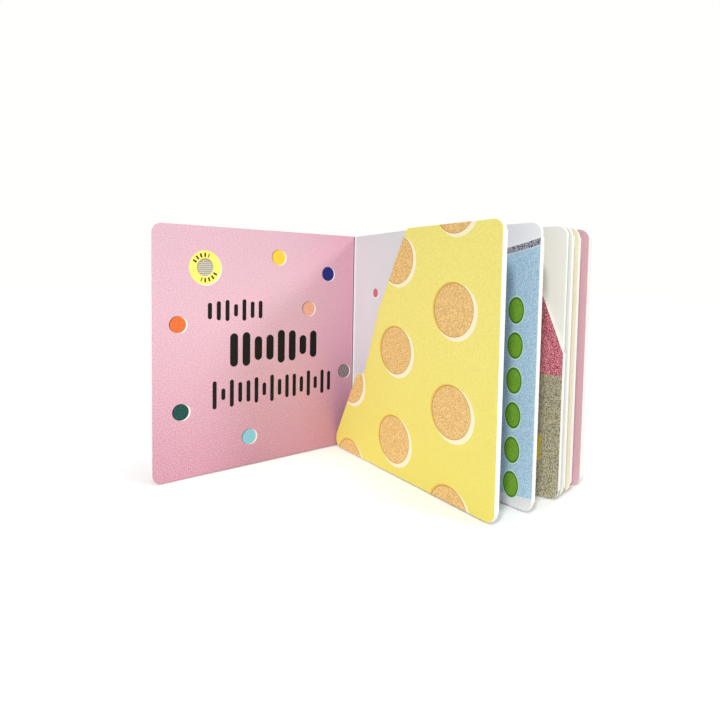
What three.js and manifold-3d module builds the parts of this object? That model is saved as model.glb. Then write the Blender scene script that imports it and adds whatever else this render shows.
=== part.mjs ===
// Square board book with a press-for-sound button, standing open on its bottom edges.
// Millimetres, +Z up. The origin is the middle of the footprint, on the floor.
// Seen from above, the reader looks along +Y: the front cover swings out to the left,
// five board leaves with die-cut flaps fan out to the right, and the back cover is behind them.
// Each board is drawn in its own frame: X runs from the gutter to the fore-edge, Z is up,
// and the depth into the board runs away from the reader.

import * as THREE from 'three';
import { mergeVertices } from 'three/addons/utils/BufferGeometryUtils.js';
import Module from 'manifold-3d';

const wasm = await Module();
wasm.setup();

// Boards
const boardHeight = 170;
const coverWidth = 169;
const leafWidth = 167.4;
const leafThickness = 2;
const cornerRadius = 6.5;
const glueGap = 0.3;
const cutMargin = 1;

// How the book stands open, in degrees from the left-right line towards the reader
const frontCoverAngle = 37.1;
const leafAngles = [64.7, 55.2, 45.8, 44.6, 42.0];
const backCoverAngle = 37.9;
const spineAngle = 40;

// Spine
const leafPitch = 3.2;
const rootDepth = 6;
const hingeGap = 0.45;
const spineStripThickness = 1.5;
const grooveWidth = 3.8;
const stripEndGap = 0.4;

// Flaps, each one folded over the fore-edge of its leaf
const flapThickness = 1;
const foldThickness = 0.35;
const slantedFlapAngle = 58.9;
const slantedFlapTop = 81;
const slantedFlapFoot = 8;
const biteTop = 112;
const biteBottom = 65;
const biteDepth = 8;
const biteScallop = 1.6;
const biteLip = 2.5;
const biteCount = 5;
const tankRimHeight = 161;
const tankRimSag = 10;
const tankFlapFromGutter = 20;
const roofEaveHeight = 92;
const roofRidgeHeight = 163;
const roofOverhang = 28;
const houseFlapFromGutter = 22;
const plainFlapFromGutter = 48;
const hingedRest = 0.4;

// Front cover and its sound button
const frontLinerThickness = 1;
const frontBoardThickness = 2;
const buttonFromForeEdge = 36.6;
const buttonFromTop = 28;
const buttonRadius = 5.4;
const buttonClearance = 0.3;
const buttonRecess = 0.25;
const buttonTravel = 0.35;
const flangeWidth = 1.6;
const flangeThickness = 0.4;
const ribCount = 7;
const ribGroove = 0.6;
const ribDepth = 0.2;
const switchPocketDepth = 1.5;
const switchPocketMargin = 1;
const domeThickness = 0.15;
const filmThickness = 0.2;
const thinGap = 0.2;
const pressedGap = 0.1;
const tailWidth = 5;

// Back cover, three layers
const backLinerThickness = 1.2;
const coreThickness = 6;
const backPanelThickness = 1.6;

// Sound module inside the back cover
const moduleFromGutter = 36;
const moduleFromTop = 16;
const moduleWidth = 92;
const moduleHeight = 56;
const housingWall = 1.2;
const housingFloor = 1;
const leadThickness = 0.2;
const leadDrop = 0.3;

// Circuit board
const circuitWidth = 24;
const circuitHeight = 40;
const circuitThickness = 0.8;
const circuitInset = 1.4;
const postRadius = 1.6;
const postInset = 3;
const chipRadius = 3.6;
const chipHeight = 0.9;

// Speaker
const speakerRadius = 14;
const speakerDepth = 3.6;
const speakerSkin = 0.5;
const magnetRadius = 6;
const magnetDepth = 1.4;
const coneThickness = 0.25;
const coneRise = 0.5;
const speakerSeat = 1.2;
const speakerInset = 2.4;
const grilleHoleRadius = 0.8;
const grillePitch = 3.2;
const grilleRings = 2;
const speakerWireRadius = 0.3;
const speakerWireSpread = 3;

// Battery compartment
const cellRadius = 5.8;
const cellThickness = 3.05;
const cellCount = 3;
const cellSpacing = 0.8;
const tubWall = 1;
const tubFloor = 0.7;
const contactThickness = 0.2;
const contactWidth = 5;
const doorThickness = 0.65;
const doorMargin = 1.4;
const batteryInset = 2.5;
const screwRadius = 0.95;
const screwLength = 3.6;
const screwHeadRadius = 1.9;
const screwHeadHeight = 0.7;
const screwSlotWidth = 0.4;
const screwBossWall = 1.3;

// Worked out from the sizes above
const leafCount = leafAngles.length;
const leafReach = leafWidth + glueGap + foldThickness;
const spineWidth = leafPitch * leafCount;
const buttonX = coverWidth - buttonFromForeEdge;
const buttonZ = boardHeight - buttonFromTop;
const radians = THREE.MathUtils.degToRad;

const colours = {
  frontPage: '#eebfcc',
  coverBoard: '#f0c6d2',
  backPage: '#dba3ae',
  leaf: '#e6dfe6',
  slantedFlap: '#f3e47a',
  tankFlap: '#b2d3e6',
  houseFlap: '#cf6674',
  plainFlap: '#efeee2',
  greyBoard: '#cfcac2',
  button: '#c9c4b8',
  film: '#d9c8a0',
  steel: '#c4c6c8',
  plastic: '#f2f2ee',
  circuit: '#2f7a46',
  chip: '#1c1c1e',
  speaker: '#3a3a3e',
  magnet: '#84868a',
  cone: '#d8dde0',
  wire: '#b33a32',
};

function material(colour, roughness = 0.7, metalness = 0) {
  return new THREE.MeshStandardMaterial({ color: colours[colour], roughness, metalness });
}

// A closed geometry as a solid that can be joined and cut
function solidOf(geometry) {
  const bare = geometry.clone();
  bare.deleteAttribute('normal');
  bare.deleteAttribute('uv');
  const merged = mergeVertices(bare, 1e-5);
  const mesh = new wasm.Mesh({
    numProp: 3,
    vertProperties: new Float32Array(merged.attributes.position.array),
    triVerts: new Uint32Array(merged.index.array),
  });
  return new wasm.Manifold(mesh);
}

function geometryOf(solid) {
  const { vertProperties, triVerts, numProp } = solid.getMesh();
  const geometry = new THREE.BufferGeometry();
  const count = vertProperties.length / numProp;
  const position = new Float32Array(count * 3);
  for (let i = 0; i < count; i += 1) {
    position.set(vertProperties.subarray(i * numProp, i * numProp + 3), i * 3);
  }
  geometry.setAttribute('position', new THREE.BufferAttribute(position, 3));
  geometry.setIndex(new THREE.BufferAttribute(new Uint32Array(triVerts), 1));
  geometry.computeVertexNormals();
  return geometry;
}

function piece(name, geometry, finish) {
  const mesh = new THREE.Mesh(geometry, finish);
  mesh.name = name;
  return mesh;
}

// An upright plate: its outline is drawn in X and Z and its depth runs from `from` away from the reader.
// On the front cover, away from the reader is -Y in the board's own frame.
function plate(outline, from, thickness, side = 1, curveSegments = 8) {
  const options = { depth: thickness, bevelEnabled: false, curveSegments };
  const geometry = new THREE.ExtrudeGeometry(outline, options);
  geometry.rotateX(Math.PI / 2);
  geometry.translate(0, side > 0 ? from + thickness : -from, 0);
  return geometry;
}

// A plate whose outline is drawn in plan, standing from z = 0 to the boards' height
function upright(planOutline) {
  return new THREE.ExtrudeGeometry(planOutline, { depth: boardHeight, bevelEnabled: false });
}

function rectangle(x0, z0, x1, z1) {
  const shape = new THREE.Shape();
  shape.moveTo(x0, z0);
  shape.lineTo(x1, z0);
  shape.lineTo(x1, z1);
  shape.lineTo(x0, z1);
  shape.closePath();
  return shape;
}

function polygon(points) {
  const shape = new THREE.Shape(points.map(([x, z]) => new THREE.Vector2(x, z)));
  shape.closePath();
  return shape;
}

function disc(x, z, radius) {
  const shape = new THREE.Shape();
  shape.absarc(x, z, radius, 0, Math.PI * 2, false);
  return shape;
}

function roundHole(x, z, radius) {
  const path = new THREE.Path();
  path.absarc(x, z, radius, 0, Math.PI * 2, true);
  return path;
}

function rectangularHole(x0, z0, x1, z1) {
  const path = new THREE.Path();
  path.moveTo(x0, z0);
  path.lineTo(x0, z1);
  path.lineTo(x1, z1);
  path.lineTo(x1, z0);
  path.closePath();
  return path;
}

// A board from the gutter to the fore-edge, with the two fore-edge corners rounded
function boardOutline(start, width) {
  const r = cornerRadius;
  const shape = new THREE.Shape();
  shape.moveTo(start, 0);
  shape.lineTo(width - r, 0);
  shape.absarc(width - r, r, r, -Math.PI / 2, 0, false);
  shape.lineTo(width, boardHeight - r);
  shape.absarc(width - r, boardHeight - r, r, 0, Math.PI / 2, false);
  shape.lineTo(start, boardHeight);
  shape.closePath();
  return shape;
}

// Plan directions of a board that leaves the gutter at an angle, to the right (side 1) or left (side -1)
function alongBoard(angle, side = 1) {
  return new THREE.Vector2(side * Math.cos(radians(angle)), -Math.sin(radians(angle)));
}

const alongSpine = new THREE.Vector2(Math.cos(radians(spineAngle)), Math.sin(radians(spineAngle)));
const behindSpine = new THREE.Vector2(-alongSpine.y, alongSpine.x);

function gutter(index) {
  return alongSpine.clone().multiplyScalar(leafPitch * index);
}

function onSpine(along, behind) {
  const point = alongSpine.clone().multiplyScalar(along).addScaledVector(behindSpine, behind);
  return [point.x, point.y];
}

// A group whose frame is a board's own: X to the fore-edge, Z up
function boardGroup(base, angle, side = 1) {
  const group = new THREE.Group();
  group.position.set(base.x, base.y, 0);
  group.rotation.z = side > 0 ? -radians(angle) : Math.PI + radians(angle);
  return group;
}

// Page block: five fanned leaves joined along the spine by one glued root
function pageBlock() {
  let block = null;
  leafAngles.forEach((angle, index) => {
    const leaf = plate(boardOutline(0, leafWidth), 0, leafThickness);
    const base = gutter(index);
    leaf.rotateZ(-radians(angle));
    leaf.translate(base.x, base.y, 0);
    block = block ? block.add(solidOf(leaf)) : solidOf(leaf);
  });
  const firstLean = Math.tan(radians(leafAngles[0] + spineAngle - 90));
  const lastLean = Math.tan(radians(leafAngles[leafCount - 1] + spineAngle - 90));
  const lastBack = leafPitch * (leafCount - 1) + leafThickness;
  const root = upright(polygon([
    onSpine(0, 0),
    onSpine(-rootDepth * firstLean, -rootDepth),
    onSpine(lastBack - rootDepth * lastLean, -rootDepth),
    onSpine(spineWidth - stripEndGap, 0),
  ]));
  const behind = upright(polygon([
    onSpine(-leafWidth, 0),
    onSpine(leafWidth, 0),
    onSpine(leafWidth, leafWidth),
    onSpine(-leafWidth, leafWidth),
  ]));
  behind.scale(1, 1, 2);
  behind.translate(0, 0, -boardHeight / 2);
  return block.add(solidOf(root)).subtract(solidOf(behind));
}

// Spine strip glued behind the root, with a channel for the switch lead
function spineStrip() {
  const inner = glueGap;
  const outer = glueGap + spineStripThickness;
  const strip = upright(polygon([
    onSpine(grooveWidth, inner),
    onSpine(spineWidth - stripEndGap, inner),
    onSpine(spineWidth - stripEndGap, outer),
    onSpine(grooveWidth, outer),
  ]));
  const channelDepth = leadThickness + 2 * thinGap;
  const channel = new THREE.ExtrudeGeometry(polygon([
    onSpine(0, 0),
    onSpine(spineWidth, 0),
    onSpine(spineWidth, inner + channelDepth),
    onSpine(0, inner + channelDepth),
  ]), { depth: tailWidth + 2 * thinGap, bevelEnabled: false });
  channel.translate(0, 0, buttonZ - tailWidth / 2 - thinGap);
  return solidOf(strip).subtract(solidOf(channel));
}

function spineLead() {
  const inner = glueGap + thinGap;
  const lead = new THREE.ExtrudeGeometry(polygon([
    onSpine(grooveWidth, inner),
    onSpine(spineWidth - stripEndGap, inner),
    onSpine(spineWidth - stripEndGap, inner + leadThickness),
    onSpine(grooveWidth, inner + leadThickness),
  ]), { depth: tailWidth, bevelEnabled: false });
  lead.translate(0, 0, buttonZ - tailWidth / 2);
  return lead;
}

// Flap outlines: X runs from the folded fore-edge towards the gutter as negative numbers
function foldedCorners(shape) {
  const r = cornerRadius;
  shape.absarc(-r, r, r, -Math.PI / 2, 0, false);
  shape.lineTo(0, boardHeight - r);
  shape.absarc(-r, boardHeight - r, r, 0, Math.PI / 2, false);
  return shape;
}

// The first flap: a slanted free edge with a row of small bites out of it
function slantedOutline(reach) {
  const r = cornerRadius;
  const slope = (reach - slantedFlapTop) / (boardHeight - slantedFlapFoot);
  const edgeX = (z) => -(slantedFlapTop + (boardHeight - z) * slope);
  const shape = new THREE.Shape();
  shape.moveTo(-reach + r, 0);
  shape.lineTo(-r, 0);
  foldedCorners(shape);
  const cornerZ = boardHeight - r / 2;
  shape.lineTo(-slantedFlapTop + r / 2, boardHeight);
  shape.quadraticCurveTo(edgeX(boardHeight), boardHeight, edgeX(cornerZ), cornerZ);
  shape.lineTo(edgeX(biteTop), biteTop);
  const biteStep = (biteTop - biteBottom) / biteCount;
  for (let bite = 0; bite < biteCount; bite += 1) {
    const from = biteTop - bite * biteStep;
    const to = from - biteStep;
    const middle = (from + to) / 2;
    const depthTo = (biteDepth * (bite + 1)) / biteCount;
    const depthMiddle = (biteDepth * (bite + 0.5)) / biteCount + biteScallop;
    shape.quadraticCurveTo(edgeX(middle) + depthMiddle, middle, edgeX(to) + depthTo, to);
  }
  shape.lineTo(edgeX(biteBottom - biteLip), biteBottom - biteLip);
  shape.lineTo(edgeX(slantedFlapFoot + r / 2), slantedFlapFoot + r / 2);
  shape.bezierCurveTo(-reach, slantedFlapFoot, -reach, 0, -reach + r, 0);
  return shape;
}

// The second flap: a round-cornered tank whose rim sags between its two ends
function tankOutline() {
  const r = cornerRadius;
  const reach = leafReach - tankFlapFromGutter;
  const shape = new THREE.Shape();
  shape.moveTo(-reach + r, 0);
  shape.lineTo(-r, 0);
  shape.absarc(-r, r, r, -Math.PI / 2, 0, false);
  shape.lineTo(0, tankRimHeight);
  shape.quadraticCurveTo(-reach / 2, tankRimHeight - 2 * tankRimSag, -reach, tankRimHeight);
  shape.lineTo(-reach, r);
  shape.absarc(-reach + r, r, r, Math.PI, Math.PI * 1.5, false);
  return shape;
}

// The third flap: a house front, whose roof rises steeply from its eave at the fore-edge
function houseOutline() {
  const r = cornerRadius;
  const reach = leafReach - houseFlapFromGutter;
  const shape = new THREE.Shape();
  shape.moveTo(-reach + r, 0);
  shape.lineTo(-r, 0);
  shape.absarc(-r, r, r, -Math.PI / 2, 0, false);
  shape.lineTo(0, roofEaveHeight);
  shape.lineTo(-roofOverhang, roofRidgeHeight);
  shape.lineTo(-reach + roofOverhang, roofRidgeHeight);
  shape.lineTo(-reach, roofEaveHeight);
  shape.lineTo(-reach, r);
  shape.absarc(-reach + r, r, r, Math.PI, Math.PI * 1.5, false);
  return shape;
}

// The last two flaps: plain panels as high as the leaf
function plainOutline() {
  const r = cornerRadius;
  const reach = leafReach - plainFlapFromGutter;
  const shape = new THREE.Shape();
  shape.moveTo(-reach + r, 0);
  shape.lineTo(-r, 0);
  foldedCorners(shape);
  shape.lineTo(-reach + r, boardHeight);
  shape.absarc(-reach + r, boardHeight - r, r, Math.PI / 2, Math.PI, false);
  shape.lineTo(-reach, r);
  shape.absarc(-reach + r, r, r, Math.PI, Math.PI * 1.5, false);
  return shape;
}

// A flap in its leaf's frame: the die-cut panel, turned open about its fold, and the strip
// that folds over the leaf's fore-edge between `foldTop` and the lower corner
function flap(outline, openAngle, foldTop) {
  const panel = plate(outline, -flapThickness, flapThickness);
  panel.rotateZ(radians(openAngle));
  panel.translate(leafReach, -glueGap, 0);
  const fold = plate(
    rectangle(leafReach - foldThickness, cornerRadius, leafReach, foldTop),
    -glueGap - flapThickness,
    glueGap + flapThickness + leafThickness,
  );
  return geometryOf(solidOf(panel).add(solidOf(fold)));
}

// How far the first flap reaches before its free corner rests against the front cover
function slantedReach() {
  const fold = alongBoard(leafAngles[0]).multiplyScalar(leafReach);
  const cover = alongBoard(frontCoverAngle, -1);
  const coverNormal = new THREE.Vector2(-cover.y, cover.x);
  const towardsCover = alongBoard(slantedFlapAngle).negate();
  const distance = fold.dot(coverNormal);
  const approach = -towardsCover.dot(coverNormal);
  return (distance - hingedRest) / approach;
}

// The groove that the switch's flat lead runs in, level with the button
function leadChannel(x0, x1) {
  const half = tailWidth / 2 + thinGap;
  return rectangle(x0, buttonZ - half, x1, buttonZ + half);
}

// Front cover: board, inside page with the button's hole, and the switch between them
const frontStart = frontLinerThickness + glueGap;

function frontBoard() {
  const board = solidOf(plate(boardOutline(hingeGap, coverWidth), frontStart, frontBoardThickness, -1));
  const pocketOutline = disc(buttonX, buttonZ, buttonRadius + flangeWidth + switchPocketMargin);
  const grooveOutline = leadChannel(hingeGap - cutMargin, buttonX);
  const cutDepth = switchPocketDepth + cutMargin;
  const pocket = plate(pocketOutline, frontStart - cutMargin, cutDepth, -1);
  const groove = plate(grooveOutline, frontStart - cutMargin, cutDepth, -1);
  return geometryOf(board.subtract(solidOf(pocket).add(solidOf(groove))));
}

function frontLiner() {
  const outline = boardOutline(hingeGap, coverWidth);
  outline.holes.push(roundHole(buttonX, buttonZ, buttonRadius + buttonClearance));
  return plate(outline, 0, frontLinerThickness, -1);
}

const flangeTop = frontLinerThickness + thinGap;

function buttonCap() {
  const flangeRadius = buttonRadius + flangeWidth;
  const capDepth = flangeTop + flangeThickness - buttonRecess;
  const face = plate(disc(buttonX, buttonZ, buttonRadius), buttonRecess, capDepth, -1);
  const flange = plate(disc(buttonX, buttonZ, flangeRadius), flangeTop, flangeThickness, -1);
  let cap = solidOf(face).add(solidOf(flange));
  const x0 = buttonX - flangeRadius;
  const x1 = buttonX + flangeRadius;
  const pitch = (2 * buttonRadius) / (ribCount + 1);
  for (let rib = 1; rib <= ribCount; rib += 1) {
    const z = buttonZ - buttonRadius + rib * pitch;
    const groove = rectangle(x0, z - ribGroove / 2, x1, z + ribGroove / 2);
    cap = cap.subtract(solidOf(plate(groove, 0, buttonRecess + ribDepth, -1)));
  }
  return geometryOf(cap);
}

const domeTop = flangeTop + flangeThickness + buttonTravel + pressedGap;
const filmTop = domeTop + domeThickness + thinGap;

function switchDome() {
  return plate(disc(buttonX, buttonZ, buttonRadius), domeTop, domeThickness, -1);
}

function switchFilm() {
  const padOutline = disc(buttonX, buttonZ, buttonRadius + flangeWidth);
  const pad = solidOf(plate(padOutline, filmTop, filmThickness, -1));
  const tail = rectangle(hingeGap, buttonZ - tailWidth / 2, buttonX, buttonZ + tailWidth / 2);
  return geometryOf(pad.add(solidOf(plate(tail, filmTop, filmThickness, -1))));
}

function frontCover() {
  const group = boardGroup(gutter(0), frontCoverAngle, -1);
  group.add(
    piece('front_cover_board', frontBoard(), material('coverBoard')),
    piece('front_cover_page', frontLiner(), material('frontPage')),
    piece('button_cap', buttonCap(), material('button', 0.5)),
    piece('switch_dome', switchDome(), material('steel', 0.3, 1)),
    piece('switch_film', switchFilm(), material('film', 0.4)),
  );
  return group;
}

// Leaves and flaps
function leavesAndFlaps() {
  const group = new THREE.Group();
  group.add(piece('page_block', geometryOf(pageBlock()), material('leaf')));
  group.add(piece('spine_strip', geometryOf(spineStrip()), material('coverBoard')));
  group.add(piece('spine_lead', spineLead(), material('film', 0.4)));
  const straightTop = boardHeight - cornerRadius;
  const opened = leafAngles[0] - slantedFlapAngle;
  const flaps = [
    ['flap_slanted', slantedOutline(slantedReach()), opened, straightTop, 'slantedFlap'],
    ['flap_tank', tankOutline(), 0, tankRimHeight, 'tankFlap'],
    ['flap_house', houseOutline(), 0, roofEaveHeight, 'houseFlap'],
    ['flap_plain_1', plainOutline(), 0, straightTop, 'plainFlap'],
    ['flap_plain_2', plainOutline(), 0, straightTop, 'plainFlap'],
  ];
  flaps.forEach(([name, outline, openAngle, foldTop, colour], index) => {
    const leaf = boardGroup(gutter(index), leafAngles[index]);
    leaf.add(piece(name, flap(outline, openAngle, foldTop), material(colour)));
    group.add(leaf);
  });
  return group;
}

// Back cover: inside page, core with the module's pocket, outer panel with its windows
const coreFrom = backLinerThickness + glueGap;
const coreTo = coreFrom + coreThickness;
const panelFrom = coreTo + glueGap;
const moduleX = moduleFromGutter;
const moduleZ = boardHeight - moduleFromTop - moduleHeight;
const floorFrom = coreTo - housingFloor;

// Places inside the module, from its lower corner nearest the gutter
const circuitX = moduleX + housingWall + circuitInset;
const circuitZ = moduleZ + (moduleHeight - circuitHeight) / 2;
const circuitFrom = coreFrom + leadDrop + leadThickness + leadDrop;
const speakerX = circuitX + circuitWidth + speakerInset + speakerRadius + glueGap;
const speakerZ = moduleZ + moduleHeight / 2;
const speakerFrom = floorFrom - glueGap - speakerDepth;
const speakerSeatRadius = speakerRadius + glueGap + speakerSeat;
const cellPitch = 2 * cellRadius + cellSpacing;
const cellX = speakerX + speakerSeatRadius + batteryInset + tubWall + glueGap + cellRadius;
const firstCellZ = moduleZ + moduleHeight - housingWall - 2 * glueGap - tubWall - cellRadius;
const lastCellZ = firstCellZ - (cellCount - 1) * cellPitch;
const tub = {
  x0: cellX - cellRadius - glueGap,
  x1: cellX + cellRadius + glueGap,
  z0: lastCellZ - cellRadius - glueGap,
  z1: firstCellZ + cellRadius + glueGap,
};
const screwBossRadius = screwRadius + glueGap + screwBossWall;
const screwZ = tub.z0 - tubWall - screwBossRadius - glueGap;
const door = {
  x0: tub.x0 - doorMargin,
  x1: tub.x1 + doorMargin,
  z0: screwZ - screwBossRadius,
  z1: tub.z1 + tubWall / 2,
};
const doorFrom = coreTo - doorThickness;
const contactFrom = coreFrom + tubFloor + glueGap;
const cellFrom = contactFrom + contactThickness + glueGap;
const doorContactFrom = cellFrom + cellThickness + glueGap;

function grown(box, margin) {
  return [box.x0 - margin, box.z0 - margin, box.x1 + margin, box.z1 + margin];
}

function backLiner() {
  return plate(boardOutline(hingeGap, coverWidth), 0, backLinerThickness);
}

function backCore() {
  const outline = boardOutline(hingeGap, coverWidth);
  const margin = glueGap;
  outline.holes.push(rectangularHole(
    moduleX - margin,
    moduleZ - margin,
    moduleX + moduleWidth + margin,
    moduleZ + moduleHeight + margin,
  ));
  const core = solidOf(plate(outline, coreFrom, coreThickness));
  const groove = plate(
    leadChannel(hingeGap - cutMargin, moduleX),
    coreFrom - cutMargin,
    cutMargin + 2 * leadDrop + leadThickness,
  );
  return geometryOf(core.subtract(solidOf(groove)));
}

function grilleCentres() {
  const centres = [[0, 0]];
  for (let ring = 1; ring <= grilleRings; ring += 1) {
    for (let k = 0; k < 6 * ring; k += 1) {
      const angle = (k / (6 * ring)) * Math.PI * 2;
      centres.push([ring * grillePitch * Math.cos(angle), ring * grillePitch * Math.sin(angle)]);
    }
  }
  return centres;
}

function backPanel() {
  const outline = boardOutline(hingeGap, coverWidth);
  outline.holes.push(rectangularHole(...grown(door, glueGap)));
  for (const [x, z] of grilleCentres()) {
    outline.holes.push(roundHole(speakerX + x, speakerZ + z, grilleHoleRadius));
  }
  return plate(outline, panelFrom, backPanelThickness, 1, 5);
}

// A round piece about the speaker's or a cell's axis, from a profile of radius and depth
function turned(x, z, profile, segments = 32) {
  const points = profile.map(([radius, depth]) => new THREE.Vector2(radius, depth));
  const geometry = new THREE.LatheGeometry(points, segments);
  geometry.translate(x, 0, z);
  return geometry;
}

// A closed turned profile is written from the axis outwards and back, so its faces point out
function turnedDisc(x, z, radius, from, thickness, segments = 32) {
  const to = from + thickness;
  return turned(x, z, [[0, from], [radius, from], [radius, to], [0, to]], segments);
}

// Module housing: a shallow box, open towards the inside page, with the battery tub's wall and floor,
// a seat for the speaker, posts for the circuit board and a boss for the door's screw
function moduleHousing() {
  const x1 = moduleX + moduleWidth;
  const z1 = moduleZ + moduleHeight;
  const box = solidOf(plate(rectangle(moduleX, moduleZ, x1, z1), coreFrom, coreThickness));
  const inside = plate(
    rectangle(moduleX + housingWall, moduleZ + housingWall, x1 - housingWall, z1 - housingWall),
    coreFrom - cutMargin,
    floorFrom - coreFrom + cutMargin,
  );
  let housing = box.subtract(solidOf(inside));
  const tubBlock = plate(rectangle(...grown(tub, tubWall)), coreFrom, coreThickness);
  const boss = turnedDisc(cellX, screwZ, screwBossRadius, coreFrom, coreThickness);
  const seatFrom = speakerFrom + speakerDepth / 3;
  const seat = turnedDisc(speakerX, speakerZ, speakerSeatRadius, seatFrom, coreTo - seatFrom);
  housing = housing.add(solidOf(tubBlock)).add(solidOf(boss)).add(solidOf(seat));
  const postFrom = circuitFrom + circuitThickness + glueGap;
  for (const [x, z] of circuitPosts()) {
    housing = housing.add(solidOf(turnedDisc(x, z, postRadius, postFrom, coreTo - postFrom, 12)));
  }
  const tubHollow = plate(rectangle(...grown(tub, 0)), coreFrom + tubFloor, coreThickness);
  const doorRecess = plate(rectangle(...grown(door, glueGap)), doorFrom - glueGap, coreThickness);
  const seatHollow = turnedDisc(
    speakerX,
    speakerZ,
    speakerRadius + glueGap,
    coreFrom - cutMargin,
    floorFrom - coreFrom + cutMargin,
  );
  const soundWindow = turnedDisc(
    speakerX,
    speakerZ,
    speakerRadius - speakerInset,
    floorFrom - cutMargin,
    housingFloor + 2 * cutMargin,
  );
  const screwHole = turnedDisc(
    cellX,
    screwZ,
    screwRadius + glueGap,
    coreTo - screwLength - doorThickness,
    coreThickness,
    16,
  );
  const leadNotch = plate(
    leadChannel(moduleX - cutMargin, moduleX + housingWall + cutMargin),
    coreFrom - cutMargin,
    cutMargin + 2 * leadDrop + leadThickness,
  );
  for (const cut of [tubHollow, doorRecess, seatHollow, soundWindow, screwHole, leadNotch]) {
    housing = housing.subtract(solidOf(cut));
  }
  return geometryOf(housing);
}

function circuitPosts() {
  const xs = [circuitX + postInset, circuitX + circuitWidth - postInset];
  const zs = [circuitZ + postInset, circuitZ + circuitHeight - postInset];
  return xs.flatMap((x) => zs.map((z) => [x, z]));
}

function moduleLead() {
  const end = circuitX + circuitInset + tailWidth;
  const strip = rectangle(hingeGap, buttonZ - tailWidth / 2, end, buttonZ + tailWidth / 2);
  return plate(strip, coreFrom + leadDrop, leadThickness);
}

function circuitBoard() {
  const outline = rectangle(circuitX, circuitZ, circuitX + circuitWidth, circuitZ + circuitHeight);
  return plate(outline, circuitFrom, circuitThickness);
}

function soundChip() {
  const from = circuitFrom + circuitThickness + thinGap;
  const steps = 6;
  const profile = [[0, from]];
  for (let k = 0; k <= steps; k += 1) {
    const angle = (k / steps) * (Math.PI / 2);
    profile.push([chipRadius * Math.cos(angle), from + chipHeight * Math.sin(angle)]);
  }
  profile[profile.length - 1][0] = 0;
  return turned(circuitX + circuitWidth / 2, circuitZ + circuitHeight / 2, profile, 24);
}

function speakerFrame() {
  const back = speakerFrom;
  const front = speakerFrom + speakerDepth;
  return turned(speakerX, speakerZ, [
    [0, back],
    [speakerRadius, back],
    [speakerRadius, front],
    [speakerRadius - speakerSkin, front],
    [speakerRadius - speakerSkin, back + speakerSkin],
    [0, back + speakerSkin],
  ], 40);
}

function speakerMagnet() {
  return turnedDisc(speakerX, speakerZ, magnetRadius, speakerFrom + speakerSkin + glueGap, magnetDepth);
}

function speakerCone() {
  const rim = speakerFrom + speakerDepth - speakerSkin - coneThickness;
  const outer = speakerRadius - speakerSkin - glueGap;
  const neck = outer / 2;
  return turned(speakerX, speakerZ, [
    [0, rim],
    [neck, rim - coneRise],
    [outer, rim],
    [outer, rim + coneThickness],
    [neck, rim - coneRise + coneThickness],
    [0, rim + coneThickness],
  ], 40);
}

// A thin wire from the circuit board over the speaker's back
function speakerWire(offset) {
  const depth = (backLinerThickness + Math.min(circuitFrom, speakerFrom)) / 2;
  const startX = circuitX + circuitWidth - postInset;
  const endX = speakerX - magnetRadius;
  const z = speakerZ + offset;
  const route = new THREE.CatmullRomCurve3([
    new THREE.Vector3(startX, depth, z),
    new THREE.Vector3((2 * startX + endX) / 3, depth, z + offset / 2),
    new THREE.Vector3((startX + 2 * endX) / 3, depth, z + offset / 4),
    new THREE.Vector3(endX, depth, z - offset / 4),
  ]);
  const options = { steps: 14, curveSegments: 4, extrudePath: route, bevelEnabled: false };
  return new THREE.ExtrudeGeometry(disc(0, 0, speakerWireRadius), options);
}

function batteryCell(index) {
  const z = firstCellZ - index * cellPitch;
  const step = cellThickness / 6;
  const to = cellFrom + cellThickness;
  return turned(cellX, z, [
    [0, cellFrom],
    [cellRadius * 0.8, cellFrom],
    [cellRadius * 0.8, cellFrom + step],
    [cellRadius, cellFrom + step],
    [cellRadius, to],
    [0, to],
  ], 28);
}

function contact(fromCell, toCell, from) {
  const top = firstCellZ - fromCell * cellPitch + contactWidth / 2;
  const bottom = firstCellZ - toCell * cellPitch - contactWidth / 2;
  const outline = rectangle(cellX - contactWidth / 2, bottom, cellX + contactWidth / 2, top);
  return plate(outline, from, contactThickness);
}

function batteryDoor() {
  const outline = rectangle(door.x0, door.z0, door.x1, door.z1);
  outline.holes.push(roundHole(cellX, screwZ, screwRadius + glueGap));
  return plate(outline, doorFrom, doorThickness);
}

// The screw's head stands over the door, in the window of the outer panel, with a crossed slot
function doorScrew() {
  const headFrom = coreTo + glueGap;
  const headTo = headFrom + screwHeadHeight;
  const shankFrom = headFrom - screwLength;
  const turnedScrew = solidOf(turned(cellX, screwZ, [
    [0, shankFrom],
    [screwRadius, shankFrom + screwRadius / 2],
    [screwRadius, headFrom],
    [screwHeadRadius, headFrom],
    [screwHeadRadius, headTo],
    [0, headTo],
  ], 20));
  const long = screwHeadRadius * 0.7;
  const half = screwSlotWidth / 2;
  const slotFrom = headTo - screwHeadHeight / 2;
  const across = rectangle(cellX - long, screwZ - half, cellX + long, screwZ + half);
  const down = rectangle(cellX - half, screwZ - long, cellX + half, screwZ + long);
  let screw = turnedScrew;
  for (const slot of [across, down]) {
    screw = screw.subtract(solidOf(plate(slot, slotFrom, screwHeadHeight)));
  }
  return geometryOf(screw);
}

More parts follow.
